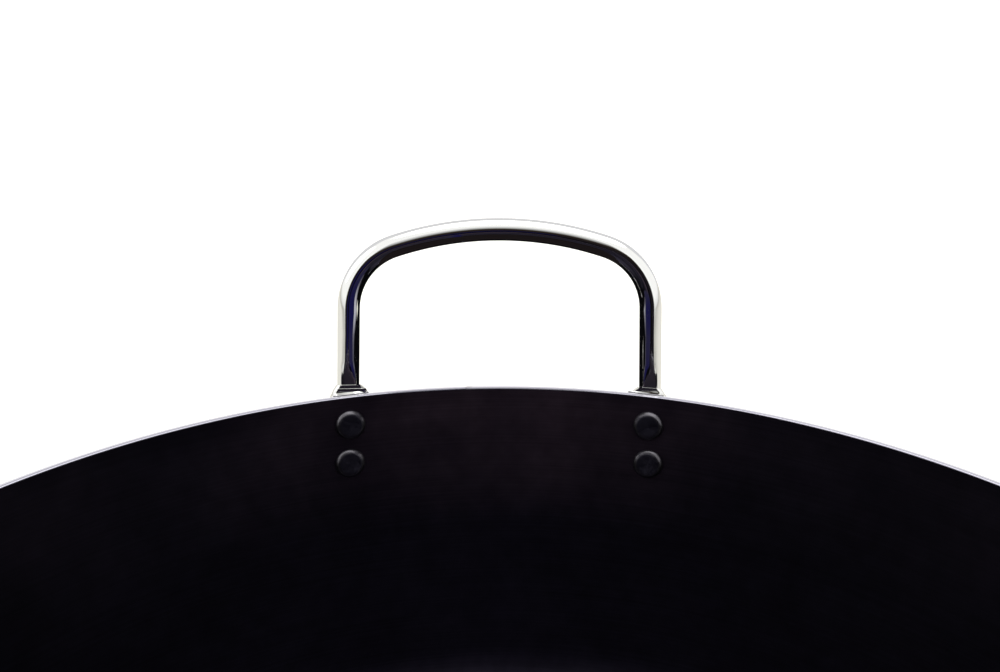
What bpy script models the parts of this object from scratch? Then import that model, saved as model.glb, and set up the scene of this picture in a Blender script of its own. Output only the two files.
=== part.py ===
"""A deep fry pot: a spun iron pot with two rod handles, each held by four rivets.

Metres, +Z up. The origin is the middle of the pot's flat base, on the surface it stands on.
The handles stand at +Y (back) and -Y (front). Left and right are as seen from the middle of
the pot, looking at that handle.
"""

import math

import bmesh
import bpy
from mathutils import Matrix, Vector

# Pot
RIM_RADIUS = 0.225
POT_HEIGHT = 0.128
PLATE = 0.0023
WALL_LEAN = math.radians(12.0)
KNUCKLE_RADIUS = 0.030
RIM_CHAMFER = 0.0003

# Handle
ROD_DIAMETER = 0.008
HANDLE_RISE = 0.060
LEG_LEAN_IN = math.radians(1.8)
BEND_RADIUS = 0.025
CROWN_RADIUS = 0.125
FOOT_AZIMUTH = math.radians(14.3)

# Swaged foot of the handle
TAB_WIDTH = 0.0148
TAB_THICKNESS = 0.003
ROD_SETBACK = 0.0015
SHOULDER_HEIGHT = 0.0026
SHOULDER_LIP = 0.0003
SHOULDER_RUN_OUT = 0.0040
LEDGE_DROP = 0.0003

# Rivets
RIVET_SHANK_DIAMETER = 0.0042
RIVET_HEAD_DIAMETER = 0.011
RIVET_HEAD_HEIGHT = 0.0020
RIVET_FLAT_DIAMETER = 0.0074
RIVET_DOME_HEIGHT = 0.0032
RIVET_EDGE = 0.0004
RIM_TO_FIRST_RIVET = 0.0109
RIVET_PITCH = 0.0148

# Clearances
SEAT_GAP = 0.0003
SHANK_GAP = 0.0003

# Fineness of the turned and bent shapes
POT_STEPS = 120
KNUCKLE_STEPS = 6
RIVET_STEPS = 18
HEAD_STEPS = 3
ROD_BEVEL_RESOLUTION = 10
BEND_STEPS = 9
CROWN_STEPS = 8
MERGE_DISTANCE = 0.00001

OBJECT_NAME = "deep_fry_pot"
UP = Vector((0.0, 0.0, 1.0))


def clear_scene():
    for obj in list(bpy.data.objects):
        bpy.data.objects.remove(obj)


def make_collection(name):
    collection = bpy.data.collections.new(name)
    bpy.context.scene.collection.children.link(collection)
    return collection


def make_material(name, colour, metallic, roughness):
    material = bpy.data.materials.new(name)
    material.use_nodes = True
    shader = material.node_tree.nodes["Principled BSDF"]
    shader.inputs["Base Color"].default_value = (*colour, 1.0)
    shader.inputs["Metallic"].default_value = metallic
    shader.inputs["Roughness"].default_value = roughness
    material.diffuse_color = (*colour, 1.0)
    return material


def make_object(name, mesh, collection, parent=None, material=None):
    obj = bpy.data.objects.new(name, mesh)
    collection.objects.link(obj)
    obj.parent = parent
    if material and not mesh.materials:
        mesh.materials.append(material)
    return obj


def arc_points(centre, radius, start, end, steps):
    """Points along an arc, both ends included, in the plane of its centre."""
    angles = [start + (end - start) * step / steps for step in range(steps + 1)]
    return [(centre[0] + radius * math.cos(a), centre[1] + radius * math.sin(a)) for a in angles]


def make_turned_mesh(name, profile):
    """A profile in the XZ plane at +X, which a Screw modifier turns about Z."""
    mesh = bpy.data.meshes.new(name)
    points = [(radius, 0.0, height) for radius, height in profile]
    edges = [(index, index + 1) for index in range(len(points) - 1)]
    mesh.from_pydata(points, edges, [])
    return mesh


def add_screw(obj, steps):
    screw = obj.modifiers.new("turned", "SCREW")
    screw.axis = "Z"
    screw.angle = math.tau
    screw.steps = steps
    screw.render_steps = steps
    screw.use_merge_vertices = True
    screw.merge_threshold = MERGE_DISTANCE
    screw.use_smooth_shade = True


def add_cut(obj, name, cutters):
    cut = obj.modifiers.new(name, "BOOLEAN")
    cut.operation = "DIFFERENCE"
    cut.operand_type = "COLLECTION"
    cut.collection = cutters
    cut.solver = "EXACT"


# The pot's wall

def pot_profile():
    """Half section of the pot, from the middle of its inside, over the rim, to the middle of its base."""
    lean_sin, lean_cos = math.sin(WALL_LEAN), math.cos(WALL_LEAN)
    knuckle_height = KNUCKLE_RADIUS * (1.0 - lean_sin)
    wall_foot = RIM_RADIUS - (POT_HEIGHT - knuckle_height) * math.tan(WALL_LEAN)
    centre = (wall_foot - KNUCKLE_RADIUS * lean_cos, KNUCKLE_RADIUS)
    inner_rim = RIM_RADIUS - PLATE / lean_cos
    chamfer_foot = RIM_CHAMFER * math.tan(WALL_LEAN)
    bottom = -math.pi / 2
    inside = arc_points(centre, KNUCKLE_RADIUS - PLATE, bottom, -WALL_LEAN, KNUCKLE_STEPS)
    outside = arc_points(centre, KNUCKLE_RADIUS, -WALL_LEAN, bottom, KNUCKLE_STEPS)
    rim = [
        (inner_rim - chamfer_foot, POT_HEIGHT - RIM_CHAMFER),
        (inner_rim + RIM_CHAMFER, POT_HEIGHT),
        (RIM_RADIUS - RIM_CHAMFER, POT_HEIGHT),
        (RIM_RADIUS - chamfer_foot, POT_HEIGHT - RIM_CHAMFER),
    ]
    return [(0.0, PLATE), *inside, *rim, *outside, (0.0, 0.0)]


def make_pot(collection, material, hole_collections):
    mesh = make_turned_mesh("pot_body", pot_profile())
    pot = make_object("pot_body", mesh, collection, material=material)
    add_screw(pot, POT_STEPS)
    for holes in hole_collections:
        add_cut(pot, "holes_" + holes.name, holes)
    return pot


# Where a handle's foot lies on the wall. These places are measured from the middle of the rim.

class Foot:
    """One foot of a handle: side is -1 for the left foot and 1 for the right one."""

    def __init__(self, side):
        turn = side * FOOT_AZIMUTH
        radial = Vector((math.sin(turn), math.cos(turn), 0.0))
        self.side = side
        self.out = (radial * math.cos(WALL_LEAN) - UP * math.sin(WALL_LEAN)).normalized()
        self.rim = radial * RIM_RADIUS
        self.leg = Vector((
            -side * math.sin(LEG_LEAN_IN),
            math.cos(LEG_LEAN_IN) * math.sin(WALL_LEAN),
            math.cos(LEG_LEAN_IN) * math.cos(WALL_LEAN),
        ))
        # The tab carries on down the line of the leg, laid flat on the wall.
        self.up = (self.leg - self.out * self.leg.dot(self.out)).normalized()
        self.across = self.out.cross(self.up) * side
        self.rod_centre = SEAT_GAP + ROD_SETBACK + ROD_DIAMETER / 2
        self.root = self.rim + self.out * self.rod_centre

    def on_tab(self, below, outward):
        return self.rim - self.up * below + self.out * outward

    def rivet_frame(self, below):
        """Z runs outward along the rivet, from the outer face of the wall."""
        sideways = self.up.cross(self.out)
        frame = Matrix((sideways, self.up, self.out)).transposed().to_4x4()
        frame.translation = self.on_tab(below, 0.0)
        return frame


def rivet_distances():
    return {"upper": RIM_TO_FIRST_RIVET, "lower": RIM_TO_FIRST_RIVET + RIVET_PITCH}


# The handle's rod

def rod_line():
    """Points of the rod's centre line, as (across, up) in the handle's own leaning plane.

    The legs are straight, the crown is a shallow arc, and each bend is an arc that touches both.
    """
    foot = Foot(1)
    leg_foot = Vector((foot.root.x, 0.0))
    leg = Vector((-math.sin(LEG_LEAN_IN), math.cos(LEG_LEAN_IN)))
    inward = Vector((-leg.y, leg.x))
    rim_level = -foot.root.z / math.cos(WALL_LEAN)
    crown_centre = Vector((0.0, rim_level + HANDLE_RISE - CROWN_RADIUS))
    start = leg_foot + inward * BEND_RADIUS - crown_centre
    reach = CROWN_RADIUS - BEND_RADIUS
    along = -start.dot(leg) + math.sqrt(start.dot(leg) ** 2 - start.dot(start) + reach ** 2)
    bend_centre = crown_centre + start + leg * along
    from_crown = bend_centre - crown_centre
    crown_angle = math.atan2(from_crown.y, from_crown.x)
    leg_angle = math.atan2(-inward.y, -inward.x)

    half = [leg_foot + leg * SHOULDER_HEIGHT]
    half += [Vector(p) for p in arc_points(bend_centre, BEND_RADIUS, leg_angle, crown_angle, BEND_STEPS)]
    crown = arc_points(crown_centre, CROWN_RADIUS, crown_angle, math.pi - crown_angle, CROWN_STEPS)
    other = [Vector((-point.x, point.y)) for point in reversed(half)]
    return half + [Vector(p) for p in crown[1:-1]] + other


def make_rod_mesh():
    """The bent rod as an open tube, from a curve with a bevel."""
    in_plane_up = Vector((0.0, math.sin(WALL_LEAN), math.cos(WALL_LEAN)))
    foot = Foot(1)
    plane = Vector((0.0, foot.root.y, foot.root.z))
    points = [plane + Vector((point.x, 0.0, 0.0)) + in_plane_up * point.y for point in rod_line()]
    curve = bpy.data.curves.new("rod_line", "CURVE")
    curve.dimensions = "3D"
    curve.bevel_depth = ROD_DIAMETER / 2
    curve.bevel_resolution = ROD_BEVEL_RESOLUTION
    spline = curve.splines.new("POLY")
    spline.points.add(len(points) - 1)
    for place, point in zip(spline.points, points):
        place.co = (*point, 1.0)
    guide = bpy.data.objects.new("rod_line", curve)
    bpy.context.scene.collection.objects.link(guide)
    bpy.context.view_layer.update()
    evaluated = guide.evaluated_get(bpy.context.evaluated_depsgraph_get())
    mesh = bpy.data.meshes.new_from_object(evaluated)
    bpy.data.objects.remove(guide)
    bpy.data.curves.remove(curve)
    mesh.name = "handle"
    return mesh


def rounded_section(angle, squareness):
    """A point of a unit outline that goes from a circle at squareness 2 to nearly a square."""
    power = 2.0 / squareness
    across = math.copysign(abs(math.cos(angle)) ** power, math.cos(angle))
    outward = math.copysign(abs(math.sin(angle)) ** power, math.sin(angle))
    return across, outward


def foot_sections():
    """The swaged foot from the rod down: (below the rim, half width, wall side, outer side, squareness).

    A lip at the top, a flared shoulder, a ledge where the tab starts, and the tab with its round end.
    """
    rod = ROD_DIAMETER / 2
    half_tab = TAB_WIDTH / 2
    rod_inner = SEAT_GAP + ROD_SETBACK
    rod_outer = rod_inner + ROD_DIAMETER
    tab_inner = SEAT_GAP
    tab_outer = SEAT_GAP + TAB_THICKNESS
    fall = (rod_outer - tab_outer) / (SHOULDER_HEIGHT + SHOULDER_RUN_OUT)
    ledge_outer = rod_outer - fall * SHOULDER_HEIGHT
    sections = [
        (-SHOULDER_HEIGHT + SHOULDER_LIP, rod + SHOULDER_LIP, rod_inner - SHOULDER_LIP / 2, rod_outer, 2.2),
        (-LEDGE_DROP, half_tab, rod_inner, ledge_outer, 3.0),
        (0.0, half_tab, tab_inner, ledge_outer - fall * LEDGE_DROP, 4.0),
        (SHOULDER_RUN_OUT, half_tab, tab_inner, tab_outer, 8.0),
    ]
    lower_rivet = rivet_distances()["lower"]
    for degrees in (0.0, 25.0, 45.0, 62.0, 76.0):
        angle = math.radians(degrees)
        end = lower_rivet + half_tab * math.sin(angle)
        sections.append((end, half_tab * math.cos(angle), tab_inner, tab_outer, 8.0))
    return sections


def draw_out_foot(shape, foot, ring):
    """Loft the open end of the rod down through the sections of the foot, and close it."""
    rod_across = Vector((foot.side, 0.0, 0.0))
    rod_out = Vector((0.0, math.cos(WALL_LEAN), -math.sin(WALL_LEAN)))
    middle = foot.root + foot.leg * SHOULDER_HEIGHT
    angles = {}
    for point in ring:
        offset = point.co - middle
        angles[point] = math.atan2(offset.dot(rod_out), offset.dot(rod_across))
    ring = sorted(ring, key=angles.get)
    turns = [angles[point] for point in ring]
    for below, half_width, inner, outer, squareness in foot_sections():
        place = foot.on_tab(below, (inner + outer) / 2)
        lower_ring = []
        for turn in turns:
            across, outward = rounded_section(turn, squareness)
            offset = foot.across * (across * half_width) + foot.out * (outward * (outer - inner) / 2)
            lower_ring.append(shape.verts.new(place + offset))
        for index, point in enumerate(ring):
            following = (index + 1) % len(ring)
            shape.faces.new((point, ring[following], lower_ring[following], lower_ring[index]))
        ring = lower_ring
    shape.faces.new(ring)


def make_handle_mesh():
    mesh = make_rod_mesh()
    shape = bmesh.new()
    shape.from_mesh(mesh)
    open_edges = [edge for edge in shape.edges if edge.is_boundary]
    ends = {point for edge in open_edges for point in edge.verts}
    for side in (-1, 1):
        draw_out_foot(shape, Foot(side), [point for point in ends if point.co.x * side > 0])
    bmesh.ops.recalc_face_normals(shape, faces=shape.faces)
    shape.to_mesh(mesh)
    shape.free()
    mesh.shade_smooth()
    mesh.set_sharp_from_angle(angle=math.radians(40))
    return mesh


# The rivets

def rivet_profile():
    """Half section of a set rivet: its round head outside, its shank, and its flattened head inside."""
    head = RIVET_HEAD_DIAMETER / 2
    shank = RIVET_SHANK_DIAMETER / 2
    flat = RIVET_FLAT_DIAMETER / 2
    outer_seat = SEAT_GAP + TAB_THICKNESS + SEAT_GAP
    inner_seat = -PLATE - SEAT_GAP
    dome_rise = RIVET_DOME_HEIGHT - RIVET_EDGE
    dome_radius = (head ** 2 + dome_rise ** 2) / (2 * dome_rise)
    dome_centre = (0.0, outer_seat + RIVET_DOME_HEIGHT - dome_radius)
    dome_edge = math.atan2(outer_seat + RIVET_EDGE - dome_centre[1], head)
    dome = arc_points(dome_centre, dome_radius, math.pi / 2, dome_edge, HEAD_STEPS)
    shoulder = []
    for step in range(HEAD_STEPS + 1):
        turn = math.pi / 2 * step / HEAD_STEPS
        radius = flat + (head - flat) * math.cos(turn)
        height = inner_seat - RIVET_EDGE - (RIVET_HEAD_HEIGHT - RIVET_EDGE) * math.sin(turn)
        shoulder.append((radius, height))
    return [
        *dome,
        (head, outer_seat),
        (shank, outer_seat),
        (shank, inner_seat),
        (head, inner_seat),
        *shoulder,
        (0.0, inner_seat - RIVET_HEAD_HEIGHT),
    ]


def make_hole_mesh():
    """A cutter for the hole that a rivet's shank passes through, in the wall and in the tab."""
    beyond = RIVET_DOME_HEIGHT
    inner = -PLATE - beyond
    outer = SEAT_GAP + TAB_THICKNESS + beyond
    mesh = bpy.data.meshes.new("rivet_hole")
    shape = bmesh.new()
    bmesh.ops.create_cone(
        shape,
        cap_ends=True,
        segments=RIVET_STEPS,
        radius1=RIVET_SHANK_DIAMETER / 2 + SHANK_GAP,
        radius2=RIVET_SHANK_DIAMETER / 2 + SHANK_GAP,
        depth=outer - inner,
        matrix=Matrix.Translation((0.0, 0.0, (inner + outer) / 2)),
    )
    shape.to_mesh(mesh)
    shape.free()
    return mesh


def rivet_places():
    """Each rivet of one handle: its name and its frame, from the middle of the rim."""
    for side, side_name in ((-1, "left"), (1, "right")):
        for level, below in rivet_distances().items():
            yield side_name + "_" + level, Foot(side).rivet_frame(below)


def make_mount(name, turn):
    """An empty in the middle of the rim, which turns a handle and its rivets to their side."""
    mount = bpy.data.objects.new("mount_" + name, None)
    mount.location = (0.0, 0.0, POT_HEIGHT)
    mount.rotation_euler = (0.0, 0.0, turn)
    bpy.context.scene.collection.objects.link(mount)
    return mount


def make_cutters(name, mount, mesh):
    holes = make_collection("rivet_holes_" + name)
    for place, frame in rivet_places():
        cutter = make_object("hole_" + name + "_" + place, mesh, holes, mount)
        cutter.matrix_local = frame
        cutter.hide_render = True
        cutter.display_type = "WIRE"
    return holes


def main():
    clear_scene()
    parts = make_collection(OBJECT_NAME)
    iron = make_material("blackened_iron", (0.018, 0.016, 0.020), 0.7, 0.42)
    chrome = make_material("chrome_plate_on_steel", (0.78, 0.78, 0.78), 1.0, 0.08)
    steel = make_material("dark_steel", (0.045, 0.043, 0.048), 0.8, 0.45)

    handle_mesh = make_handle_mesh()
    rivet_mesh = make_turned_mesh("rivet", rivet_profile())
    hole_mesh = make_hole_mesh()
    hole_collections = []
    for name, turn in (("back", 0.0), ("front", math.pi)):
        mount = make_mount(name, turn)
        holes = make_cutters(name, mount, hole_mesh)
        hole_collections.append(holes)
        handle = make_object("handle_" + name, handle_mesh, parts, mount, chrome)
        add_cut(handle, "rivet_holes", holes)
        for place, frame in rivet_places():
            rivet = make_object("rivet_" + name + "_" + place, rivet_mesh, parts, mount, steel)
            rivet.matrix_local = frame
            add_screw(rivet, RIVET_STEPS)
    make_pot(parts, iron, hole_collections)


main()
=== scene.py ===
# %% [markdown]
# # A deep fry pot
# The object is a wide iron pot for deep frying: one sheet of iron, spun into a flat base and a
# flared wall, with two loops of chrome-plated rod riveted to it.
# The construction is already made, as plain solids in metres. This lesson starts by loading them
# as a fixed frame, and then dresses each one with a finer surface and a finish of its own.

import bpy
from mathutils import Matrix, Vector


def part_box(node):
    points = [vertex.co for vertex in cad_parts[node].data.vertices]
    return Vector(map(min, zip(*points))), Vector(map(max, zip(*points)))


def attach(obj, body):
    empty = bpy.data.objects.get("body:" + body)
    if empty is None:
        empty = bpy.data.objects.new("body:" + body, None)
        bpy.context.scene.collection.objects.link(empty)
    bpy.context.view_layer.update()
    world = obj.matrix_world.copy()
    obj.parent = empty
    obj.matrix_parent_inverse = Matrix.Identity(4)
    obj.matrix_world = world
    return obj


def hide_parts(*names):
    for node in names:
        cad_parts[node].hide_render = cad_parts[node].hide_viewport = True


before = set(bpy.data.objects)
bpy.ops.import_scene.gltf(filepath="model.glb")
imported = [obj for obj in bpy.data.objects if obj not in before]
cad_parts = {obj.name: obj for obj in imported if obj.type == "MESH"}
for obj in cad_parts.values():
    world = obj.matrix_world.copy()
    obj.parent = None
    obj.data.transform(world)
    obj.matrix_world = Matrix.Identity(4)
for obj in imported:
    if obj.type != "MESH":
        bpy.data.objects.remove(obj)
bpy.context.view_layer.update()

# %% [markdown]
# Blender's own modules come next. The pot's two outer sizes are measured on the frame, so this
# script can't drift away from the construction. The sizes below them are the maker's: the sheet's
# thickness, the wall's lean and the radius of the knuckle between wall and base.

# %% Sizes of the pot
import math
import random
from collections import namedtuple

import bmesh
import bpy
from mathutils import Matrix, Vector

MM = 0.001
UP = Vector((0.0, 0.0, 1.0))

_, pot_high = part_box("pot_body")
rim_radius = pot_high.x
pot_height = pot_high.z
plate = 2.3 * MM
wall_lean = math.radians(12.0)
knuckle_radius = 30 * MM
print("rim radius", round(rim_radius, 4), "height", round(pot_height, 4))

# %% [markdown]
# Every finish is a small tree of shader nodes. Two helpers keep the trees readable: one turns a
# colour as a designer writes it, in sRGB hex, to the linear values that a shader works in, and one
# adds a node with its settings and its links in one call.

# %% Colour and node helpers


def linear(hex_colour):
    """The linear RGBA value of an sRGB colour such as '8a8d93'."""
    channels = [int(hex_colour[place:place + 2], 16) / 255 for place in (0, 2, 4)]
    curve = [c / 12.92 if c <= 0.04045 else ((c + 0.055) / 1.055) ** 2.4 for c in channels]
    return (*curve, 1.0)


def add(tree, kind, inputs=None, **settings):
    """Add a node. Settings are its own properties; inputs hold a value or an output for a socket."""
    node = tree.nodes.new(kind)
    for name, value in settings.items():
        setattr(node, name, value)
    for name, value in (inputs or {}).items():
        if isinstance(value, bpy.types.NodeSocket):
            tree.links.new(value, node.inputs[name])
        else:
            node.inputs[name].default_value = value
    return node


def new_finish(name):
    """A new material with only its output node, and the tree to build it in."""
    finish = bpy.data.materials.new(name)
    finish.use_nodes = True
    tree = finish.node_tree
    tree.nodes.clear()
    output = tree.nodes.new("ShaderNodeOutputMaterial")
    return finish, tree, output


print("helpers ready")

# %% [markdown]
# Two finishes have marks that run round the pot: the fine rings that spinning leaves in the wall,
# and the scratches of the grinder on the rim. A noise by itself has no direction. It gets one from
# its coordinate, which here runs quickly down the pot's profile and slowly round it, so that the
# noise is drawn out into rings.

# %% A coordinate for marks that run round

marks_per_metre = 9.0


def add_radius(tree, place):
    """The place seen flat from above, its distance from the pot's axis, and its height."""
    parts = add(tree, "ShaderNodeSeparateXYZ", {"Vector": place})
    flat = add(tree, "ShaderNodeCombineXYZ", {"X": parts.outputs["X"], "Y": parts.outputs["Y"]})
    radius = add(tree, "ShaderNodeVectorMath", {0: flat.outputs["Vector"]}, operation="LENGTH")
    return flat.outputs["Vector"], radius.outputs["Value"], parts.outputs["Z"]


def add_ring_coordinate(tree, place, spacing):
    """A coordinate that runs quickly down the pot's profile and slowly round it."""
    flat, radius, height = add_radius(tree, place)
    down = add(tree, "ShaderNodeMath", {0: radius, 1: height}, operation="ADD")
    rings = add(
        tree,
        "ShaderNodeMath",
        {0: down.outputs["Value"], 1: 1 / spacing},
        operation="MULTIPLY",
    )
    around = add(tree, "ShaderNodeVectorMath", {0: flat, "Scale": marks_per_metre}, operation="SCALE")
    slow = add(tree, "ShaderNodeSeparateXYZ", {"Vector": around.outputs["Vector"]})
    return add(
        tree,
        "ShaderNodeCombineXYZ",
        {"X": slow.outputs["X"], "Y": slow.outputs["Y"], "Z": rings.outputs["Value"]},
    ).outputs["Vector"]


print("marks run round the pot, about", round(1 / marks_per_metre, 2), "m long")

# %% [markdown]
# The wall's finish is blued iron: sheet iron, spun on a lathe and heated until a thin black oxide
# grows on it. The heating leaves a faint brown and purple tint, in clouds. Near the rim and in the
# middle, by the handles, this tint is also painted sheen: it is drawn lighter there, where the wall
# mirrors the light. The oxide itself is mottled in small spots. Painted shade makes it darker out
# to the sides, where the light falls off, and painted light makes it lighter low down. An image
# could be painted for this. Here each of these is a share worked out from the height, the
# distance sideways or a noise, and the shares are multiplied, so that each one can be set by eye
# on its own.

# %% Where blued iron is tinted, with its painted sheen, shade and light

tint_and_sheen_depth = 52 * MM
full_tint_and_sheen_depth = 8 * MM


def add_tint_and_sheen(tree, height, sideways, patches):
    """How strong the tint and its painted sheen are: near the rim, by the handles, and in clouds."""
    # Painted sheen: the tint is drawn lighter and strongest near the rim, and in the middle by the
    # handles.
    near_rim = add(
        tree,
        "ShaderNodeMapRange",
        {
            "Value": height,
            "From Min": pot_height - tint_and_sheen_depth,
            "From Max": pot_height - full_tint_and_sheen_depth,
        },
    )
    near_handle = add(
        tree,
        "ShaderNodeMapRange",
        {
            "Value": sideways,
            "From Min": 0.15 * rim_radius,
            "From Max": 0.45 * rim_radius,
            "To Min": 1.0,
            "To Max": 0.15,
        },
    )
    clouds = add(
        tree,
        "ShaderNodeMapRange",
        {"Value": patches, "From Min": 0.35, "From Max": 0.65, "To Min": 0.5, "To Max": 1.0},
    )
    tint_and_sheen = near_rim.outputs["Result"]
    for share in (near_handle, clouds):
        factors = {0: tint_and_sheen, 1: share.outputs["Result"]}
        tint_and_sheen = add(tree, "ShaderNodeMath", factors, operation="MULTIPLY").outputs["Value"]
    return tint_and_sheen


def add_tone_with_painted_light(tree, height, sideways, rings, spots):
    """How light the oxide is drawn: streaked by the rings, with painted shade out to the sides, painted
    light low down, and mottled.
    """
    streaks = add(
        tree,
        "ShaderNodeMapRange",
        {"Value": rings, "From Min": 0.3, "From Max": 0.75, "To Min": 0.85, "To Max": 1.15},
    )
    # Painted shade: the wall is drawn darker out to the sides, where the light falls off.
    beside = add(
        tree,
        "ShaderNodeMapRange",
        {
            "Value": sideways,
            "From Min": 0.05 * rim_radius,
            "From Max": 0.7 * rim_radius,
            "To Min": 1.0,
            "To Max": 0.42,
        },
    )
    # Painted light: the wall is drawn lighter low down.
    painted_light_low_down = add(
        tree,
        "ShaderNodeMapRange",
        {"Value": height, "From Min": 20 * MM, "From Max": 90 * MM, "To Min": 1.35, "To Max": 1.0},
    )
    mottle = add(
        tree,
        "ShaderNodeMapRange",
        {"Value": spots, "From Min": 0.3, "From Max": 0.7, "To Min": 0.86, "To Max": 1.14},
    )
    shade = streaks.outputs["Result"]
    for share in (beside, painted_light_low_down, mottle):
        factors = {0: shade, 1: share.outputs["Result"]}
        shade = add(tree, "ShaderNodeMath", factors, operation="MULTIPLY").outputs["Value"]
    return shade


print("tint from", round(pot_height - tint_and_sheen_depth, 4), "m up to the rim")

# %% [markdown]
# The oxide is nearly black and satin, not matt. The rings could be modelled, but they are a few
# hundredths of a millimetre high, so bump and a little colour are the better place for them. They
# are drawn about 0.8 mm apart, coarser than the real tool marks, because finer ones would vanish
# at this distance. The sheet's own grain is drawn 0.7 mm wide for the same reason.

# %% Finish: blued iron

ring_spacing = 0.8 * MM
grain_size = 0.7 * MM
patch_size = 45 * MM
spot_size = 8 * MM
tint_and_light_shift = 8 * MM


def make_blued_iron():
    finish, tree, output = new_finish("blued_iron")
    place = add(tree, "ShaderNodeTexCoord").outputs["Object"]
    ring_place = add_ring_coordinate(tree, place, ring_spacing)
    rings = add(tree, "ShaderNodeTexNoise", {"Vector": ring_place, "Scale": 1.0, "Detail": 3.0})
    grain = add(tree, "ShaderNodeTexNoise", {"Vector": place, "Scale": 1 / grain_size, "Detail": 2.0})
    patches = add(tree, "ShaderNodeTexNoise", {"Vector": place, "Scale": 1 / patch_size, "Detail": 4.0})
    spots = add(tree, "ShaderNodeTexNoise", {"Vector": place, "Scale": 1 / spot_size, "Detail": 3.0})

    parts = add(tree, "ShaderNodeSeparateXYZ", {"Vector": place})
    # The painted sheen and the painted shade are centred this far to the left of the pot's middle.
    moved = add(tree, "ShaderNodeMath", {0: parts.outputs["X"], 1: tint_and_light_shift}, operation="ADD")
    sideways = add(tree, "ShaderNodeMath", {0: moved.outputs["Value"]}, operation="ABSOLUTE")
    height, sideways = parts.outputs["Z"], sideways.outputs["Value"]
    tint_and_sheen = add_tint_and_sheen(tree, height, sideways, patches.outputs["Fac"])
    shade = add_tone_with_painted_light(tree, height, sideways, rings.outputs["Fac"], spots.outputs["Fac"])
    # The lighter brown is heat tint and painted sheen in one.
    oxide_and_sheen = add(
        tree,
        "ShaderNodeMix",
        {"Factor": tint_and_sheen, "A": linear("292633"), "B": linear("5c4c59")},
        data_type="RGBA",
    )
    colour = add(
        tree,
        "ShaderNodeVectorMath",
        {0: oxide_and_sheen.outputs["Result"], "Scale": shade},
        operation="SCALE",
    )
    roughness = add(
        tree,
        "ShaderNodeMapRange",
        {
            "Value": patches.outputs["Fac"],
            "From Min": 0.3,
            "From Max": 0.7,
            "To Min": 0.34,
            "To Max": 0.44,
        },
    )
    ring_bump = add(
        tree,
        "ShaderNodeBump",
        {"Height": rings.outputs["Fac"], "Strength": 0.15, "Distance": 0.05 * MM},
    )
    grain_bump = add(
        tree,
        "ShaderNodeBump",
        {
            "Height": grain.outputs["Fac"],
            "Strength": 0.2,
            "Distance": 0.04 * MM,
            "Normal": ring_bump.outputs["Normal"],
        },
    )
    shader = add(
        tree,
        "ShaderNodeBsdfPrincipled",
        {
            "Base Color": colour.outputs["Vector"],
            "Metallic": 0.9,
            "Roughness": roughness.outputs["Result"],
            "Normal": grain_bump.outputs["Normal"],
        },
    )
    tree.links.new(shader.outputs["BSDF"], output.inputs["Surface"])
    return finish


blued_iron = make_blued_iron()
print("finish", blued_iron.name)

# %% [markdown]
# The rim is the cut edge of the sheet, ground bright after spinning. Bare ground steel is a pale
# metal with fine scratches that run the way the grinder went, round the rim. Here they are a
# stretched noise in the roughness, 0.25 mm apart. Its inner part is drawn darker as painted shade,
# where the worn edge rounds it off and turns it away from the light.

# %% Finish: ground steel

scratch_spacing = 0.25 * MM
bright_width = 1.0 * MM


def make_ground_steel():
    finish, tree, output = new_finish("ground_steel")
    place = add(tree, "ShaderNodeTexCoord").outputs["Object"]
    scratch_place = add_ring_coordinate(tree, place, scratch_spacing)
    scratches = add(tree, "ShaderNodeTexNoise", {"Vector": scratch_place, "Scale": 1.0, "Detail": 2.0})
    roughness = add(
        tree,
        "ShaderNodeMapRange",
        {
            "Value": scratches.outputs["Fac"],
            "From Min": 0.3,
            "From Max": 0.7,
            "To Min": 0.1,
            "To Max": 0.24,
        },
    )
    _, radius, _ = add_radius(tree, place)
    # Painted shade: the rim's inner part is drawn darker than its outer millimetre.
    outward = add(
        tree,
        "ShaderNodeMapRange",
        {
            "Value": radius,
            "From Min": rim_radius - plate,
            "From Max": rim_radius - bright_width,
        },
    )
    colour = add(
        tree,
        "ShaderNodeMix",
        {"Factor": outward.outputs["Result"], "A": linear("aeacb7"), "B": linear("e6e4ee")},
        data_type="RGBA",
    )
    shader = add(
        tree,
        "ShaderNodeBsdfPrincipled",
        {
            "Base Color": colour.outputs["Result"],
            "Metallic": 1.0,
            "Roughness": roughness.outputs["Result"],
        },
    )
    tree.links.new(shader.outputs["BSDF"], output.inputs["Surface"])
    return finish


ground_steel = make_ground_steel()
print("finish", ground_steel.name)

# %% [markdown]
# The handles are chrome plate on steel rod: bent first, then polished and plated. Chrome is a
# smooth, slightly cool mirror. It has hardly any colour of its own, so almost everything that the
# eye sees in it is a reflection. A faint haze from handling keeps it from looking like new glass,
# and the polishing wheel leaves long, very shallow waves.

# %% Finish: chrome plate

haze_size = 9 * MM
polish_wave = 5 * MM


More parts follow.
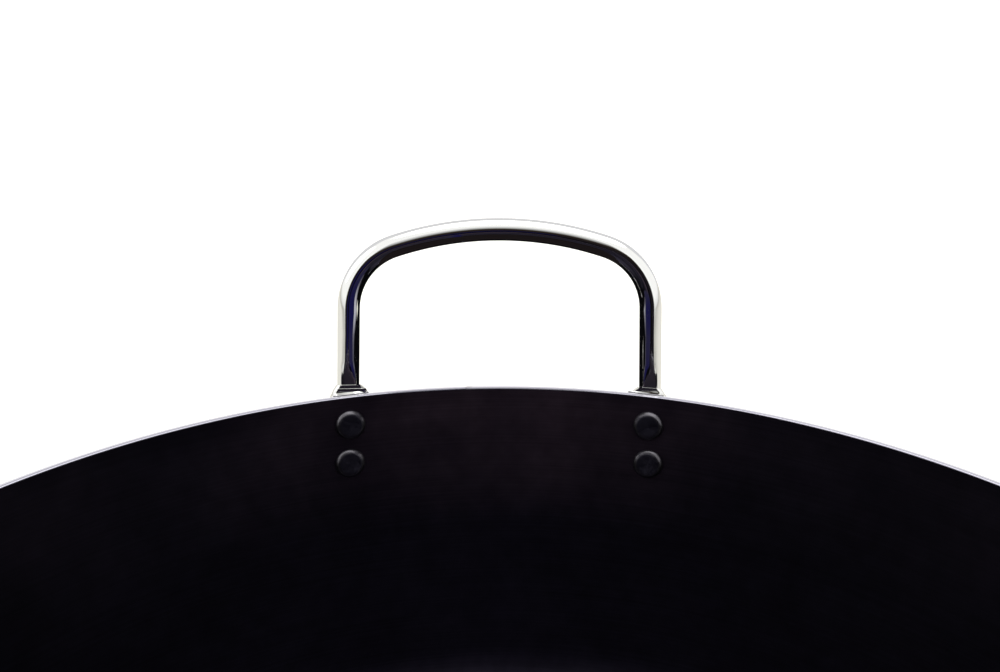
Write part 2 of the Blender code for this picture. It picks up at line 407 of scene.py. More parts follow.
def make_chrome_plate():
    finish, tree, output = new_finish("chrome_plate_on_steel")
    place = add(tree, "ShaderNodeTexCoord").outputs["Object"]
    haze = add(tree, "ShaderNodeTexNoise", {"Vector": place, "Scale": 1 / haze_size, "Detail": 5.0})
    roughness = add(
        tree,
        "ShaderNodeMapRange",
        {
            "Value": haze.outputs["Fac"],
            "From Min": 0.35,
            "From Max": 0.7,
            "To Min": 0.035,
            "To Max": 0.11,
        },
    )
    waves = add(tree, "ShaderNodeTexNoise", {"Vector": place, "Scale": 1 / polish_wave, "Detail": 1.0})
    polish = add(
        tree,
        "ShaderNodeBump",
        {"Height": waves.outputs["Fac"], "Strength": 0.12, "Distance": 0.05 * MM},
    )
    shader = add(
        tree,
        "ShaderNodeBsdfPrincipled",
        {
            "Base Color": linear("f2f2ef"),
            "Metallic": 1.0,
            "Roughness": roughness.outputs["Result"],
            "Normal": polish.outputs["Normal"],
        },
    )
    tree.links.new(shader.outputs["BSDF"], output.inputs["Surface"])
    return finish


chrome_plate = make_chrome_plate()
print("finish", chrome_plate.name)

# %% [markdown]
# The rivets are steel, set hot and blackened with the pot. The press that sets them leaves the
# flat of the head a little rough and burnishes its round edge, which therefore shines more. The
# node Pointiness could find the edge, but it depends on how fine the mesh is. So each point of the
# mesh keeps a value of its own, burnish, which is highest in the middle of the round edge.

# %% Finish: rivet steel

pit_size = 1.1 * MM


def make_rivet_steel():
    finish, tree, output = new_finish("dark_rivet_steel")
    place = add(tree, "ShaderNodeTexCoord").outputs["Object"]
    edge = add(tree, "ShaderNodeAttribute", attribute_name="burnish").outputs["Fac"]
    pits = add(tree, "ShaderNodeTexNoise", {"Vector": place, "Scale": 1 / pit_size, "Detail": 4.0})
    colour = add(
        tree,
        "ShaderNodeMix",
        {"Factor": edge, "A": linear("403e4a"), "B": linear("626064")},
        data_type="RGBA",
    )
    pitted = add(
        tree,
        "ShaderNodeMapRange",
        {
            "Value": pits.outputs["Fac"],
            "From Min": 0.3,
            "From Max": 0.7,
            "To Min": 0.34,
            "To Max": 0.52,
        },
    )
    roughness = add(
        tree,
        "ShaderNodeMix",
        {"Factor": edge, "A": pitted.outputs["Result"], "B": 0.34},
        data_type="FLOAT",
    )
    pit_bump = add(
        tree,
        "ShaderNodeBump",
        {"Height": pits.outputs["Fac"], "Strength": 0.5, "Distance": 0.12 * MM},
    )
    shader = add(
        tree,
        "ShaderNodeBsdfPrincipled",
        {
            "Base Color": colour.outputs["Result"],
            "Metallic": 1.0,
            "Roughness": roughness.outputs["Result"],
            "Normal": pit_bump.outputs["Normal"],
        },
    )
    tree.links.new(shader.outputs["BSDF"], output.inputs["Surface"])
    return finish


rivet_steel = make_rivet_steel()
print("finish", rivet_steel.name)

# %% [markdown]
# The pot is a turned shape, so one half section tells everything: the inside of the base, the
# knuckle, the wall, over the rim and back down outside. The grinder leaves the rim's top slightly
# domed, and its inner edge has worn round. A Screw modifier could turn the section. Here it is a
# list of points from which rings are made directly, because the faces on the ground rim get their
# own finish as they are made.

# %% The pot's section

rim_dome_radius = 2.8 * MM
rim_dome_turn = math.radians(25)
worn_width = 0.3 * MM
worn_height = 0.46 * MM
middle_radius = 10 * MM


def arc(centre, radius, start, end, steps):
    """Points along an arc, both ends included."""
    angles = [start + (end - start) * step / steps for step in range(steps + 1)]
    return [(centre[0] + radius * math.cos(a), centre[1] + radius * math.sin(a)) for a in angles]


def between(start, end, steps):
    """Points on a straight run, without its two ends."""
    return [
        tuple(a + (b - a) * step / steps for a, b in zip(start, end))
        for step in range(1, steps)
    ]


def pot_section():
    """The half section in three parts: inside up to the rim, the ground rim, and outside down."""
    lean_sin, lean_cos, lean_tan = math.sin(wall_lean), math.cos(wall_lean), math.tan(wall_lean)
    wall_foot = rim_radius - (pot_height - knuckle_radius * (1 - lean_sin)) * lean_tan
    centre = (wall_foot - knuckle_radius * lean_cos, knuckle_radius)
    inner_rim = rim_radius - plate / lean_cos
    down = -math.pi / 2
    inside = arc(centre, knuckle_radius - plate, down, -wall_lean, 20)
    outside = arc(centre, knuckle_radius, -wall_lean, down, 20)
    inner_edge = [
        (inner_rim + worn_width * (1 + x), pot_height - worn_height * (1 - y))
        for x, y in arc((0.0, 0.0), 1.0, math.pi, math.pi / 2, 4)
    ]
    dome_centre = (rim_radius - rim_dome_radius * math.sin(rim_dome_turn), pot_height - rim_dome_radius)
    outer_edge = arc(dome_centre, rim_dome_radius, math.pi / 2, math.pi / 2 - rim_dome_turn, 6)
    inside_middle, under_middle = (middle_radius, plate), (middle_radius, 0.0)
    floor_inside = between(inside_middle, inside[0], 16)
    floor_under = between(outside[-1], under_middle, 16)
    before_rim = [inside_middle, *floor_inside, *inside, *between(inside[-1], inner_edge[0], 14)]
    rim = [*inner_edge, *outer_edge]
    after_rim = [*between(outer_edge[-1], outside[0], 14), *outside, *floor_under, under_middle]
    return before_rim, rim, after_rim


print("half section of", sum(len(part) for part in pot_section()), "points")

# %% [markdown]
# The pot, the rods and the rivets are all made in one way: rings of points, with faces between
# neighbouring rings. Modifiers could do it from curves. Rings leave each piece free to have
# sections of its own, and each point free to carry a value. The shading is smooth, except at edges
# sharper than the piece's crease angle.

# %% Rings and pieces


def join_rings(shape, rings):
    """Faces between neighbouring rings, which all have the same number of points."""
    sides = len(rings[0])
    faces = []
    for upper, lower in zip(rings, rings[1:]):
        for step in range(sides):
            after = (step + 1) % sides
            faces.append(shape.faces.new((upper[step], upper[after], lower[after], lower[step])))
    return faces


def make_piece(name, shape, finishes, crease):
    """An object of this shape, with its faces turned outward."""
    bmesh.ops.recalc_face_normals(shape, faces=shape.faces)
    mesh = bpy.data.meshes.new(name)
    shape.to_mesh(mesh)
    shape.free()
    for finish in finishes:
        mesh.materials.append(finish)
    mesh.shade_smooth()
    mesh.set_sharp_from_angle(angle=math.radians(crease))
    piece = bpy.data.objects.new(name, mesh)
    bpy.context.scene.collection.objects.link(piece)
    return piece


print("rings can be joined")

# %% [markdown]
# Turned round the pot's axis, each point of the section becomes a ring. 384 steps leave no flat to
# see on the rim, which runs from side to side of the picture.

# %% The pot

POT_STEPS = 384


def make_pot():
    before_rim, rim, after_rim = pot_section()
    turns = [math.tau * step / POT_STEPS for step in range(POT_STEPS)]
    shape = bmesh.new()
    rings = [
        [shape.verts.new((radius * math.cos(turn), radius * math.sin(turn), height)) for turn in turns]
        for radius, height in before_rim + rim + after_rim
    ]
    faces = join_rings(shape, rings)
    first_rim, last_rim = len(before_rim), len(before_rim) + len(rim) - 1
    for face in faces[first_rim * POT_STEPS:last_rim * POT_STEPS]:
        face.material_index = 1
    for ring, height in ((rings[0], plate), (rings[-1], 0.0)):
        middle = shape.verts.new((0.0, 0.0, height))
        for step in range(POT_STEPS):
            shape.faces.new((ring[step], ring[(step + 1) % POT_STEPS], middle))
    return make_piece("iron_pot", shape, [blued_iron, ground_steel], crease=50)


iron_pot = make_pot()
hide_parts("pot_body")
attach(iron_pot, "root")
print("pot with", len(iron_pot.data.polygons), "faces")

# %% [markdown]
# Each handle stands on the wall by two feet. A foot's place and directions on the leaning, round
# wall are needed by the handle and by its rivets, so one small class works them out: outward from
# the wall, up along the leg's own line, and across. The feet are pressed by hand-fed dies, so no
# two are quite alike: the left leg stands a little further in, and each rivet sits a few tenths of
# a millimetre off the even pattern.

# %% Where a foot stands

rod_radius = 4.1 * MM
handle_rise = 59.2 * MM
leg_lean_in = math.radians(1.8)
bend_radius = 25 * MM
crown_radius = 125 * MM
foot_azimuth = math.radians(14.3)
tab_width = 14.8 * MM
tab_thickness = 3 * MM
rod_setback = 1.9 * MM
seat_gap = 0.3 * MM
rod_middle = seat_gap + rod_setback + rod_radius
rivet_distances = {"upper": 11.1 * MM, "lower": 25.9 * MM}
LEFT, RIGHT = -1, 1
rivet_drops = {LEFT: -0.3 * MM, RIGHT: 0.4 * MM}
rivet_outsets = {LEFT: -0.2 * MM, RIGHT: 0.1 * MM}
narrowings = {LEFT: 0.991, RIGHT: 1.0}


class Foot:
    """One foot of the back handle, left or right, measured from the middle of the rim."""

    def __init__(self, side):
        turn = side * foot_azimuth
        radial = Vector((math.sin(turn), math.cos(turn), 0.0))
        self.side = side
        self.out = (radial * math.cos(wall_lean) - UP * math.sin(wall_lean)).normalized()
        self.rim = radial * rim_radius
        self.leg = Vector((
            -side * math.sin(leg_lean_in),
            math.cos(leg_lean_in) * math.sin(wall_lean),
            math.cos(leg_lean_in) * math.cos(wall_lean),
        ))
        self.up = (self.leg - self.out * self.leg.dot(self.out)).normalized()
        self.across = self.out.cross(self.up) * side
        self.root = self.rim + self.out * rod_middle
        self.root.x *= narrowings[side]
        self.rod_out = Vector((0.0, math.cos(wall_lean), -math.sin(wall_lean)))
        self.rod_across = self.rod_out.cross(self.leg) * side

    def on_rod(self, above, across, outward):
        """A point in the handle's own plane, which all of the rod lies in."""
        sideways = self.rod_across * across + self.rod_out * (outward - rod_middle)
        return self.root + self.leg * above + sideways

    def on_tab(self, above, across, outward):
        """A point on the wall's own plane, which the tab lies on."""
        return self.rim + self.up * above + self.across * across + self.out * outward


print("feet at", [tuple(round(v, 4) for v in Foot(side).root) for side in (LEFT, RIGHT)])

# %% [markdown]
# The rod itself is a round bar bent over a former: straight legs, two bends and a shallow crown.
# A curve with a bevel would make it. The foot is different: the bar's hot end is pressed between
# dies into a flat tab. That is a loft between unlike sections, so the whole handle is made as one
# loft, ring by ring, from one tab over the crown to the other.

# %% The rod's line


def rod_line(leg_end):
    """Half of the rod's centre line from the crown's middle, as (across, up) in its own plane."""
    leg_foot = Vector((Foot(RIGHT).root.x, 0.0))
    leg = Vector((-math.sin(leg_lean_in), math.cos(leg_lean_in)))
    inward = Vector((-leg.y, leg.x))
    rim_level = -Foot(RIGHT).root.z / math.cos(wall_lean)
    crown_centre = Vector((0.0, rim_level + handle_rise - crown_radius))
    start = leg_foot + inward * bend_radius - crown_centre
    reach = crown_radius - bend_radius
    along = -start.dot(leg) + math.sqrt(start.dot(leg) ** 2 - start.dot(start) + reach ** 2)
    bend_centre = crown_centre + start + leg * along
    from_crown = bend_centre - crown_centre
    crown_angle = math.atan2(from_crown.y, from_crown.x)
    leg_angle = math.atan2(-inward.y, -inward.x)
    crown = arc(crown_centre, crown_radius, math.pi / 2, crown_angle, 24)
    bend = arc(bend_centre, bend_radius, crown_angle, leg_angle, 40)
    return [*crown, *bend[1:], *between(bend[-1], tuple(leg_foot + leg * leg_end), 4)]


print("rod line of", len(rod_line(0.0)), "points")

# %% [markdown]
# The sections of the foot follow from what the dies do. Near its end the rod goes flat on the wall
# side. Then come small ledges, two on the left foot and one on the right, each a narrow bevel over
# an upright face: they are what the eye reads as fine bright lines across the foot. They lie in the
# handle's own plane. A last, wide bevel runs along the rim and lands on the wall, so the foot
# twists there by the angle between the handle's plane and the wall. Below it is the plain tab with
# its round end.
# A section has its height above the rim, its half width toward the outer and the inner side, how
# far its wall side is flat on each, its wall side and outer side, how square it is on the outer
# side (2 is an ellipse and 8 is nearly a rectangle), how much it falls sideways and outward, and
# whether it lies in the handle's plane (0) or on the wall (1). The ledges fall outward, so that
# from the camera they look like level lines.

# %% The sections of a foot

flat_start = 9 * MM
ledge_depth = 0.15 * MM
ledge_tilt = 0.25
ledge_steps = 4
rim_fall = 0.082
flare_run_out = 4 * MM
half_tab = tab_width / 2
tab_corner = 0.8 * MM
tab_back = seat_gap + tab_thickness
rod_face = rod_middle - rod_radius
rod_back = rod_middle + rod_radius
round_square, bevel_square, tab_square = 2.0, 3.6, 8.0
squaring = 0.25
QUARTERS = (0.0, 0.25, 0.5, 0.75, 1.0)
Section = namedtuple(
    "Section", "above outer inner outer_flat inner_flat face back square fall tilt on_wall"
)
# Height above the rim, half widths (outer, inner) and half flats (outer, inner), in millimetres.
LEDGES = {
    LEFT: [
        (3.10, 4.10, 4.10, 1.3, 3.2),
        (3.04, 4.50, 4.80, 2.1, 4.4),
        (1.74, 5.25, 6.35, 2.8, 5.9),
        (1.68, 5.40, 6.55, 2.9, 6.1),
        (0.30, 6.05, 7.20, 3.9, 6.6),
        (0.00, 6.50, 7.60, 5.6, 7.0),
    ],
    RIGHT: [
        (1.74, 4.10, 4.10, 1.2, 3.2),
        (1.71, 4.25, 4.75, 1.4, 4.5),
        (-0.06, 5.40, 6.90, 3.0, 6.5),
        (0.00, 6.20, 7.90, 5.2, 7.3),
    ],
}
ledge_falls = {LEFT: 0.05, RIGHT: 0.10}
last_falls = {LEFT: 0.12, RIGHT: 0.125}


def tab_sections():
    """The plain tab below the last bevel, with its round end."""
    lower_rivet = rivet_distances["lower"]
    tab_flat = half_tab - tab_corner
    sections = []
    for above, _ in between((-flare_run_out, 0.0), (-lower_rivet, 0.0), 7):
        sections.append(Section(
            above, half_tab, half_tab, tab_flat, tab_flat, seat_gap, tab_back, tab_square, 0.0, 0.0, 1.0,
        ))
    for degrees in range(10, 81, 10):
        angle = math.radians(degrees)
        half, flat = half_tab * math.cos(angle), tab_flat * math.cos(angle)
        above = -lower_rivet - half_tab * math.sin(angle)
        sections.append(Section(
            above, half, half, flat, flat, seat_gap, tab_back, tab_square, 0.0, 0.0, 1.0,
        ))
    return sections


def foot_sections(side):
    """All the sections of a foot, from where the rod starts to go flat to the tab's end."""
    ledges = [tuple(size * MM for size in ledge) for ledge in LEDGES[side]]
    lip, ledge_fall = ledges[0][0], ledge_falls[side]

    def back(above):
        """The outer side slopes from the rod's back to the tab's."""
        return rod_back + (tab_back - rod_back) * (lip - above) / (lip + flare_run_out)

    sections = []
    for share in QUARTERS:
        above = lip + flat_start * (1 - share)
        flats = [flat * (1 - (1 - share) ** 2) for flat in ledges[0][3:]]
        fall, tilt = ledge_fall * share ** 2, ledge_tilt * share ** 2
        sections.append(Section(
            above, rod_radius, rod_radius, *flats, rod_face, rod_back, round_square, fall, tilt, 0.0,
        ))
    last_ledge = len(ledges) - 3
    for step in range(1, last_ledge + 1, 2):
        top, foot = ledges[step], ledges[step + 1]
        face = rod_face - (step + 1) // 2 * ledge_depth
        square = round_square + squaring * step
        last_turn = last_falls[side] - ledge_fall if step == last_ledge else 0.0
        for part, ledge in enumerate([top, *between(top, foot, ledge_steps), foot]):
            fall = ledge_fall + last_turn * part / ledge_steps
            sections.append(Section(*ledge, face, back(ledge[0]), square, fall, ledge_tilt, 0.0))
    for share in QUARTERS:
        corners = (0.0, 0.0, tab_corner, tab_corner)
        widths = [
            width + (half_tab - corner - width) * share
            for width, corner in zip(ledges[-1][1:], corners)
        ]
        outward = tab_back + (back(0.0) - tab_back) * (1 - share) ** 2
        square = bevel_square + (tab_square - bevel_square) * share
        fall, tilt = rim_fall * (1 - share), ledge_tilt * (1 - share)
        sections.append(Section(
            -flare_run_out * share, *widths, seat_gap, outward, square, fall, tilt, 1.0,
        ))
    return sections + tab_sections()


print("foot of", len(foot_sections(LEFT)), "sections")

# %% [markdown]
# Each section becomes a ring of points. The rings on the rod turn with its line. The rings of the
# foot lie in the handle's plane or on the wall's, and all rings have the same number of points,
# so that neighbours are joined point to point. The two halves meet at the crown's middle, where
# their equal points are made one.

# %% The handles

ROD_SIDES = 64
same_point = 0.001 * MM


def wall_side(share, half_width, flat, depth):
    """A point of half a wall side, from its side (0) to its middle (1): a round corner, then flat."""
    corner = math.pi / 4 * (half_width - flat + depth)
    place = share * (corner + flat)
    if place > corner:
        return flat - (place - corner), depth
    turn = math.pi / 2 * place / corner
    return flat + (half_width - flat) * math.cos(turn), depth * math.sin(turn)


def foot_ring(foot, section, turns):
    middle, depth = (section.face + section.back) / 2, (section.back - section.face) / 2
    ring = []
    for turn in turns:
        wide, deep = math.cos(turn), math.sin(turn)
        half, flat = section.outer, section.outer_flat
        if wide < 0:
            half, flat = section.inner, section.inner_flat
        if deep < 0:
            share = math.asin(-deep) / (math.pi / 2)
            across, inward = wall_side(share, half, flat, depth)
            outward = middle - inward
        else:
            across = half * abs(wide) ** (2 / section.square)
            outward = middle + depth * deep ** (2 / section.square)
        across = math.copysign(across, wide)
        above = section.above - section.fall * across - section.tilt * (outward - section.face)
        place = foot.on_tab if section.on_wall else foot.on_rod
        ring.append(place(above, across, outward))
    return ring


def rod_ring(point, along, foot, turns):
    across = along.cross(foot.rod_out).normalized() * foot.side
    return [point + (across * math.cos(t) + foot.rod_out * math.sin(t)) * rod_radius for t in turns]


def handle_rings(side):
    """Rings from the crown's middle down one leg and foot."""
    foot = Foot(side)
    plane_up = Vector((0.0, math.sin(wall_lean), math.cos(wall_lean)))
    plane = Vector((0.0, foot.root.y, foot.root.z))
    turns = [math.tau * step / ROD_SIDES for step in range(ROD_SIDES)]
    line = rod_line(LEDGES[side][0][0] * MM + flat_start)
    line = [plane + Vector((side * x * narrowings[side], 0.0, 0.0)) + plane_up * y for x, y in line]
    tangents = [(after - before).normalized() for before, after in zip(line, line[2:])]
    tangents = [Vector((side, 0.0, 0.0)), *tangents, -foot.leg]
    rings = [rod_ring(point, along, foot, turns) for point, along in zip(line[:-1], tangents)]
    return rings + [foot_ring(foot, section, turns) for section in foot_sections(side)]


def make_handle(name, turn):
    shape = bmesh.new()
    for side in (LEFT, RIGHT):
        rings = [[shape.verts.new(point) for point in ring] for ring in handle_rings(side)]
        join_rings(shape, rings)
        shape.faces.new(rings[-1])
    bmesh.ops.remove_doubles(shape, verts=shape.verts, dist=same_point)
    bmesh.ops.translate(shape, verts=shape.verts, vec=(0.0, 0.0, pot_height))
    bmesh.ops.rotate(shape, verts=shape.verts, matrix=Matrix.Rotation(turn, 3, "Z"))
    return make_piece(name, shape, [chrome_plate], crease=28)


SIDES = {"back": 0.0, "front": math.pi}
for side_name, side_turn in SIDES.items():
    handle = make_handle("rod_handle_" + side_name, side_turn)
    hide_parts("handle_" + side_name)
    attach(handle, "root")
    print(handle.name, "with", len(handle.data.polygons), "faces")

# %% [markdown]
# A rivet is turned too: a round head outside, a shank through the tab and the wall, and inside a
# head that the press has flattened. The eight are never quite alike, so each is turned to another
# angle and its flat gets its own shallow dents. Random numbers come from one seeded source, so
# every run gives the same eight rivets.

# %% The rivets

RIVET_SIDES = 64
dents = random.Random(7)
dent_depths = (0.03, 0.08)  # the least and the greatest, in millimetres
dent_reach = 0.3 * MM
head_radius = 5.5 * MM
flat_radius = 3.7 * MM
shank_radius = 2.1 * MM
head_height = 2.0 * MM
dome_height = 3.2 * MM
head_edge = 0.4 * MM
seat_edge = 0.2 * MM
dome_opening = 0.02
edge_steps = 12
inner_seat = -plate - seat_gap
outer_seat = tab_back + seat_gap
flat_level = inner_seat - head_height


def rivet_section():
    """(radius, height along the rivet, burnish) from the outer dome to the inner flat's middle."""
    dome_rise = dome_height - head_edge
    dome_radius = (head_radius ** 2 + dome_rise ** 2) / (2 * dome_rise)
    centre = (0.0, outer_seat + dome_height - dome_radius)
    dome_edge = math.atan2(outer_seat + head_edge - centre[1], head_radius)
    dome = arc(centre, dome_radius, math.pi / 2 - dome_opening, dome_edge, 14)
    section = [(radius, height, 0.5) for radius, height in dome]
    section += [(head_radius, outer_seat, 0.3), (shank_radius, outer_seat, 0.0)]
    section += [(shank_radius, inner_seat, 0.0), (head_radius - seat_edge, inner_seat, 0.3)]
    for step in range(edge_steps + 1):
        turn = math.pi / 2 * step / edge_steps
        radius = flat_radius + (head_radius - flat_radius) * math.cos(turn)
        height = inner_seat - head_edge - (head_height - head_edge) * math.sin(turn)
        section.append((radius, height, math.sin(2 * turn)))
    for share in (0.85, 0.7, 0.5, 0.3, 0.12):
        section.append((flat_radius * share, flat_level, 0.0))
    return section


def make_rivet(name, foot, below, turn):
    shape = bmesh.new()
    burnish = shape.verts.layers.float.new("burnish")
    own_turn = dents.uniform(0.0, math.tau)
    waves = [(dents.uniform(0, math.tau), dents.uniform(*dent_depths) * MM) for _ in range(3)]
    rings = []
    for radius, height, shine in rivet_section():
        ring = []
        for step in range(RIVET_SIDES):
            angle = math.tau * step / RIVET_SIDES + own_turn
            dent = 0.0
            if height < flat_level + dent_reach:
                for order, (phase, depth) in enumerate(waves, start=1):
                    dent += depth * math.cos(order * angle + phase) * radius / flat_radius
            point = shape.verts.new((radius * math.cos(angle), radius * math.sin(angle), height + dent))
            point[burnish] = shine
            ring.append(point)
        rings.append(ring)
    join_rings(shape, rings)
    shape.faces.new(rings[0])
    shape.faces.new(rings[-1])
    axes = Matrix((foot.up.cross(foot.out), foot.up, foot.out)).transposed().to_4x4()
    seat = foot.on_tab(-below - rivet_drops[foot.side], rivet_outsets[foot.side], 0.0)
    axes.translation = seat + UP * pot_height
    shape.transform(Matrix.Rotation(turn, 4, "Z") @ axes)
    return make_piece(name, shape, [rivet_steel], crease=45)


for side_name, side_turn in SIDES.items():
    for foot_name, foot_side in (("left", LEFT), ("right", RIGHT)):
        for level, below in rivet_distances.items():
            place_name = side_name + "_" + foot_name + "_" + level
            rivet = make_rivet("set_rivet_" + place_name, Foot(foot_side), below, side_turn)
            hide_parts("rivet_" + place_name)
            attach(rivet, "root")
print("8 rivets set, with heads", round(2 * head_radius, 4), "m across")

# %% [markdown]
# The stage is a plain pale floor, as a product studio has. The camera sees it nearly white: a
# little light of its own is added for camera rays alone, and the pot's soft shadow still shows on
# it. For every other ray the floor is an ordinary pale surface. It lies a hair below the pot, so
# that the two surfaces don't fight.

# %% Floor

half_floor = 6.0
floor_drop = 0.2 * MM


def make_floor():
    finish, tree, output = new_finish("studio_floor")
    paint = add(tree, "ShaderNodeBsdfDiffuse", {"Color": linear("f1efe8"), "Roughness": 0.5})
    lift = add(tree, "ShaderNodeEmission", {"Color": (1.0, 1.0, 1.0, 1.0), "Strength": 0.5})
    both = add(tree, "ShaderNodeAddShader", {0: paint.outputs["BSDF"], 1: lift.outputs["Emission"]})
    rays = add(tree, "ShaderNodeLightPath")
    choice = add(
        tree,
        "ShaderNodeMixShader",
        {"Fac": rays.outputs["Is Camera Ray"], 1: paint.outputs["BSDF"], 2: both.outputs["Shader"]},
    )
    tree.links.new(choice.outputs["Shader"], output.inputs["Surface"])
    mesh = bpy.data.meshes.new("studio_floor")
    corners = [(x * half_floor, y * half_floor, 0) for x, y in ((-1, -1), (1, -1), (1, 1), (-1, 1))]
    mesh.from_pydata(corners, [], [range(4)])
    mesh.materials.append(finish)
    floor = bpy.data.objects.new("studio_floor", mesh)
    floor.location.z = -floor_drop
    bpy.context.scene.collection.objects.link(floor)


make_floor()
print("floor of", 2 * half_floor, "m")

# %% [markdown]
# Round the stage stands a white surround. A single white would do for the iron, but the chrome
# mirrors it, and a real room isn't white all round. So reflections get a room of their own: dim
# toward the camera and low down, white above and to the sides, and with a slightly grey band high
# up behind the pot. To rough surfaces the surround gives a plain, weaker light.

# %% Surround


def add_mirrored_room(tree):
    """How bright reflections find the surround in each direction."""
    direction = add(tree, "ShaderNodeTexCoord").outputs["Generated"]
    parts = add(tree, "ShaderNodeSeparateXYZ", {"Vector": direction})
    beside = add(
        tree,
        "ShaderNodeMapRange",
        {"Value": parts.outputs["Y"], "From Min": -0.6, "From Max": 0.0, "To Min": 0.0, "To Max": 0.7},
    )
    sideways = add(tree, "ShaderNodeMath", {0: parts.outputs["X"]}, operation="ABSOLUTE")
    flanks = add(
        tree,
        "ShaderNodeMapRange",
        {
            "Value": sideways.outputs["Value"],
            "From Min": 0.3,
            "From Max": 0.55,
            "To Min": 0.0,
            "To Max": 0.7,
        },
    )
    around = add(
        tree,
        "ShaderNodeMath",
        {0: beside.outputs["Result"], 1: flanks.outputs["Result"]},
        operation="MAXIMUM",
    )
    height = add(
        tree,
        "ShaderNodeMath",
        {0: parts.outputs["Z"], 1: around.outputs["Value"]},
        operation="ADD",
    )
    ceiling = add(
        tree,
        "ShaderNodeMapRange",
        {
            "Value": height.outputs["Value"],
            "From Min": 0.42,
            "From Max": 0.78,
            "To Min": 0.1,
            "To Max": 1.05,
        },
    )
    band = add(tree, "ShaderNodeValToRGB", {"Fac": parts.outputs["Z"]})
    elements = band.color_ramp.elements
    elements[0].position, elements[1].position = 0.42, 0.8
    for share in (0.5, 0.68):
        elements.new(share)
    for element, level in zip(elements, (1.0, 0.68, 0.68, 1.0)):
        element.color = (level, level, level, 1.0)
    back = add(
        tree,
        "ShaderNodeMapRange",
        {"Value": parts.outputs["Y"], "From Min": 0.2, "From Max": 0.5},
    )
    behind = add(
        tree,
        "ShaderNodeMix",
        {"Factor": back.outputs["Result"], "A": 1.0, "B": band.outputs["Color"]},
        data_type="FLOAT",
    )
    return add(
        tree,
        "ShaderNodeMath",
        {0: ceiling.outputs["Result"], 1: behind.outputs["Result"]},
        operation="MULTIPLY",
    ).outputs["Value"]


def make_surround():
    """White for the camera, a plain weaker light for rough surfaces, and a room for reflections."""
    world = bpy.data.worlds.new("white_surround")
    world.use_nodes = True
    tree = world.node_tree
    tree.nodes.clear()
    rays = add(tree, "ShaderNodeLightPath")
    seen = add(
        tree,
        "ShaderNodeMix",
        {"Factor": rays.outputs["Is Glossy Ray"], "A": 0.55, "B": add_mirrored_room(tree)},
        data_type="FLOAT",
    )
    strength = add(
        tree,
        "ShaderNodeMix",
        {"Factor": rays.outputs["Is Camera Ray"], "A": seen.outputs["Result"], "B": 1.0},
        data_type="FLOAT",
    )
    shell = add(
        tree,
        "ShaderNodeBackground",
        {"Color": (1.0, 1.0, 1.0, 1.0), "Strength": strength.outputs["Result"]},
    )
    output = tree.nodes.new("ShaderNodeOutputWorld")
    tree.links.new(shell.outputs["Background"], output.inputs["Surface"])
    bpy.context.scene.world = world


make_surround()
print("surround", bpy.context.scene.world.name)

# %% [markdown]
# Two soft lamps light the pot: a large one overhead and a weaker one from the left. Each is a disk
# of light, as a round softbox is, so the highlights on the rivets have soft edges. A point lamp
# would give hard dots and hard shadows.

# %% Lamps


def add_soft_lamp(name, place, aim, size, power):
    lamp = bpy.data.lights.new(name, "AREA")
    lamp.shape = "DISK"
    lamp.size = size
    lamp.energy = power
    holder = bpy.data.objects.new(name, lamp)
    holder.location = place
    holder.rotation_euler = (Vector(aim) - Vector(place)).to_track_quat("-Z", "Y").to_euler()
    bpy.context.scene.collection.objects.link(holder)


add_soft_lamp("overhead_lamp", (0.3, 0.5, 1.9), (0.0, 0.0, 0.1), 2.4, 20.0)
add_soft_lamp("side_lamp", (-1.6, 0.2, 1.1), (0.0, 0.0, 0.1), 1.3, 6.0)
print("one lamp overhead and one at the side")

# %% [markdown]
# A mirror shows what stands round it, so the chrome needs dark things to show too, and a
# photographer places flags for that: cloths and cards just outside the picture. These are seen
# only in reflections and cast no shadow. A flag shows its own colours whatever light falls on it,
# from low to high, so that each can be set by eye.

# %% Cloths and cards


def make_flag_finish(name, stops):
    """A cloth that shows these colours from low to high, whatever light falls on it."""
    finish, tree, output = new_finish(name)
    place = add(tree, "ShaderNodeTexCoord").outputs["Generated"]
    height = add(tree, "ShaderNodeSeparateXYZ", {"Vector": place}).outputs["Z"]
    ramp = add(tree, "ShaderNodeValToRGB", {"Fac": height})
    elements = ramp.color_ramp.elements
    for element, (share, colour) in zip(elements, (stops[0], stops[-1])):
        element.position = share
        element.color = linear(colour)
    for share, colour in stops[1:-1]:
        elements.new(share).color = linear(colour)
    shown = add(tree, "ShaderNodeEmission", {"Color": ramp.outputs["Color"]})
    tree.links.new(shown.outputs["Emission"], output.inputs["Surface"])
    return finish


def add_flag(name, finish, corners):
    """A flat cloth between these corners, in millimetres, seen only in reflections."""
    mesh = bpy.data.meshes.new(name)
    mesh.from_pydata([Vector(corner) * MM for corner in corners], [], [range(len(corners))])
    mesh.materials.append(finish)
    flag = bpy.data.objects.new(name, mesh)
    flag.visible_camera = False
    flag.visible_diffuse = False
    flag.visible_shadow = False
    bpy.context.scene.collection.objects.link(flag)


def upright(start, end, low, high):
    """The corners of an upright flag over a line on the floor."""
    return [(*start, low), (*end, low), (*end, high), (*start, high)]


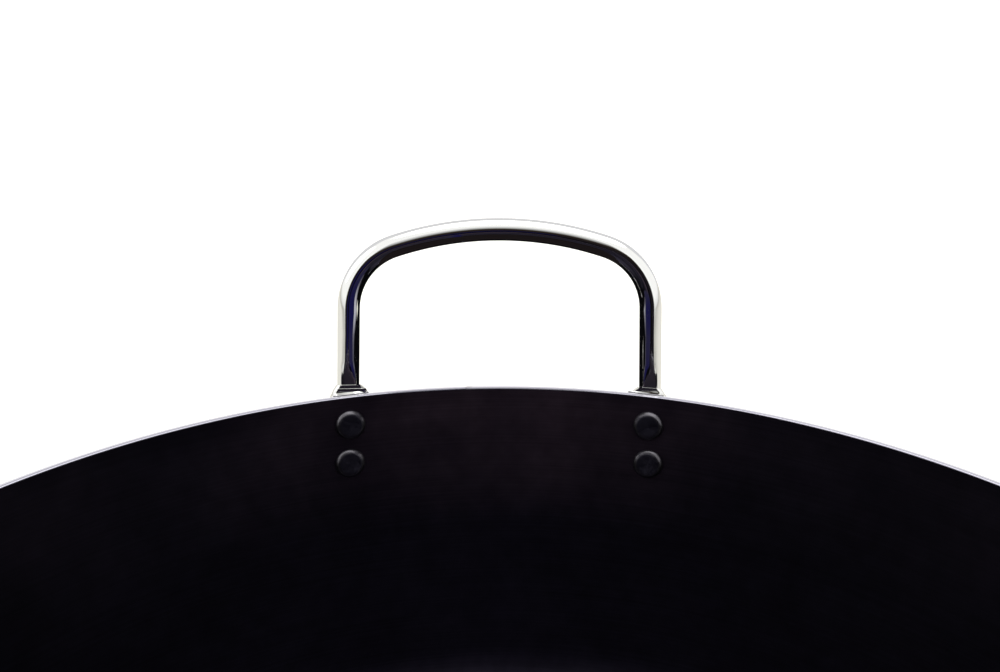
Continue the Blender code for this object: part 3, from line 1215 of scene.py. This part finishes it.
navy = make_flag_finish("navy_cloth", [(0.0, "17154a"), (1.0, "15134a")])
mouth_navy = make_flag_finish("mouth_cloth", [(0.0, "2c2a3c"), (0.5, "181642"), (1.0, "17154c")])
brown = make_flag_finish("brown_cloth", [(0.0, "15131c"), (0.65, "1e1918"), (1.0, "3c332c")])
black = make_flag_finish("black_cloth", [(0.0, "08080a"), (1.0, "08080a")])
grey = make_flag_finish("grey_card", [(0.0, "dedee2"), (0.75, "dedee2"), (1.0, "ffffff")])
streak_low = [(0.0, "45434f"), (0.15, "5c5a66"), (0.4, "b8b6c2")]
streak_high = [(0.65, "b8b6c2"), (0.9, "34324a"), (1.0, "2a2844")]
streak = make_flag_finish("streak_card", streak_low + streak_high)
print("6 cloths and cards")

# %% [markdown]
# A large brown flag stands in front, with a navy foot, for the dark half of the crown. A black
# screen keeps the near handle, which is out of the picture, out of the far one's chrome too. A
# navy cloth hangs over the mouth and keeps the facing halves of the two legs dark. A light card
# beside it draws the streak that runs down each leg, and a black shade closes it off from the rim.
# A grey card behind the crown gives its bright top a grey outline, and a cloth under the crown
# keeps the light of the rim away from it. A black flag behind each handle is for the inner edges
# of the legs, and a black cloth on the floor for the underside of the crown.
# The cloth over the mouth and all that joins it hang edge-on in one upright plane, in which the
# camera nearly stands. So they leave no mark on the rim, and no light comes through between them.

# %% Where the flags stand, in millimetres

edge_on = -12
mouth_corners = [(-200, 131), (164, 131), (172, 136), (204, 150), (216, 167), (-200, 150)]
streak_corners = [(172, 136), (188, 136), (228, 147), (243, 167), (216, 167), (204, 150)]
shade_corners = [(160, 129.3), (231, 129.3), (231, 150.5), (228, 147), (188, 136), (172, 136)]

add_flag("front_flag_foot", navy, upright((-230, -750), (100, -750), 0, 270))
add_flag("front_flag", brown, upright((-560, -752), (560, -752), 0, 650))
for flag_part, finish, corners in (
    ("mouth_flag", mouth_navy, mouth_corners),
    ("streak_card", streak, streak_corners),
    ("mouth_shade", black, shade_corners),
):
    add_flag(flag_part, finish, [(edge_on, *corner) for corner in corners])
add_flag("near_screen", black, upright((-80, -205), (80, -205), 129, 196))
add_flag("crown_card", grey, upright((-110, 262), (110, 262), 162, 236))
add_flag("crown_cloth", brown, [(-34, 205, 168), (34, 205, 168), (42, 236, 168), (-42, 236, 168)])
for flag_side, flag_turn in (("back", 1), ("front", -1)):
    under_wall, by_wall, far = flag_turn * 178, flag_turn * 226, flag_turn * 600
    add_flag("inner_flag_" + flag_side, black, upright((edge_on, by_wall), (edge_on, far), 2, 143))
    cloth = [(-100, under_wall, 1), (100, under_wall, 1), (100, far, 1), (-100, far, 1)]
    add_flag("floor_cloth_" + flag_side, black, cloth)
print("flags over the mouth", edge_on, "mm from the middle")

# %% [markdown]
# The camera stands low over the near side of the pot and looks across it, so the far wall and the
# far handle fill the frame. Its place was found by fitting the curve of the rim in the picture.
# The lens follows from the focal length in pixels of a picture 1000 pixels wide.

# %% Camera

IMAGE_WIDTH = 1000
focal_pixels = 1060
camera_place = Vector((-11.5 * MM, -128.9 * MM, pot_height + 185.8 * MM))
camera_down = math.radians(25.025)
camera_turn = math.radians(-1.88)
camera_roll = math.radians(0.80)

lens = bpy.data.cameras.new("studio_camera")
lens.sensor_fit = "HORIZONTAL"
lens.sensor_width = 36.0
lens.lens = lens.sensor_width * focal_pixels / IMAGE_WIDTH
lens.clip_start = 0.005
camera = bpy.data.objects.new("studio_camera", lens)
camera.matrix_world = (
    Matrix.Translation(camera_place)
    @ Matrix.Rotation(camera_turn, 4, "Z")
    @ Matrix.Rotation(math.pi / 2 - camera_down, 4, "X")
    @ Matrix.Rotation(camera_roll, 4, "Z")
)
bpy.context.scene.collection.objects.link(camera)
bpy.context.scene.camera = camera
bpy.context.scene.view_settings.view_transform = "Standard"
print("lens", round(lens.lens, 2), "mm")
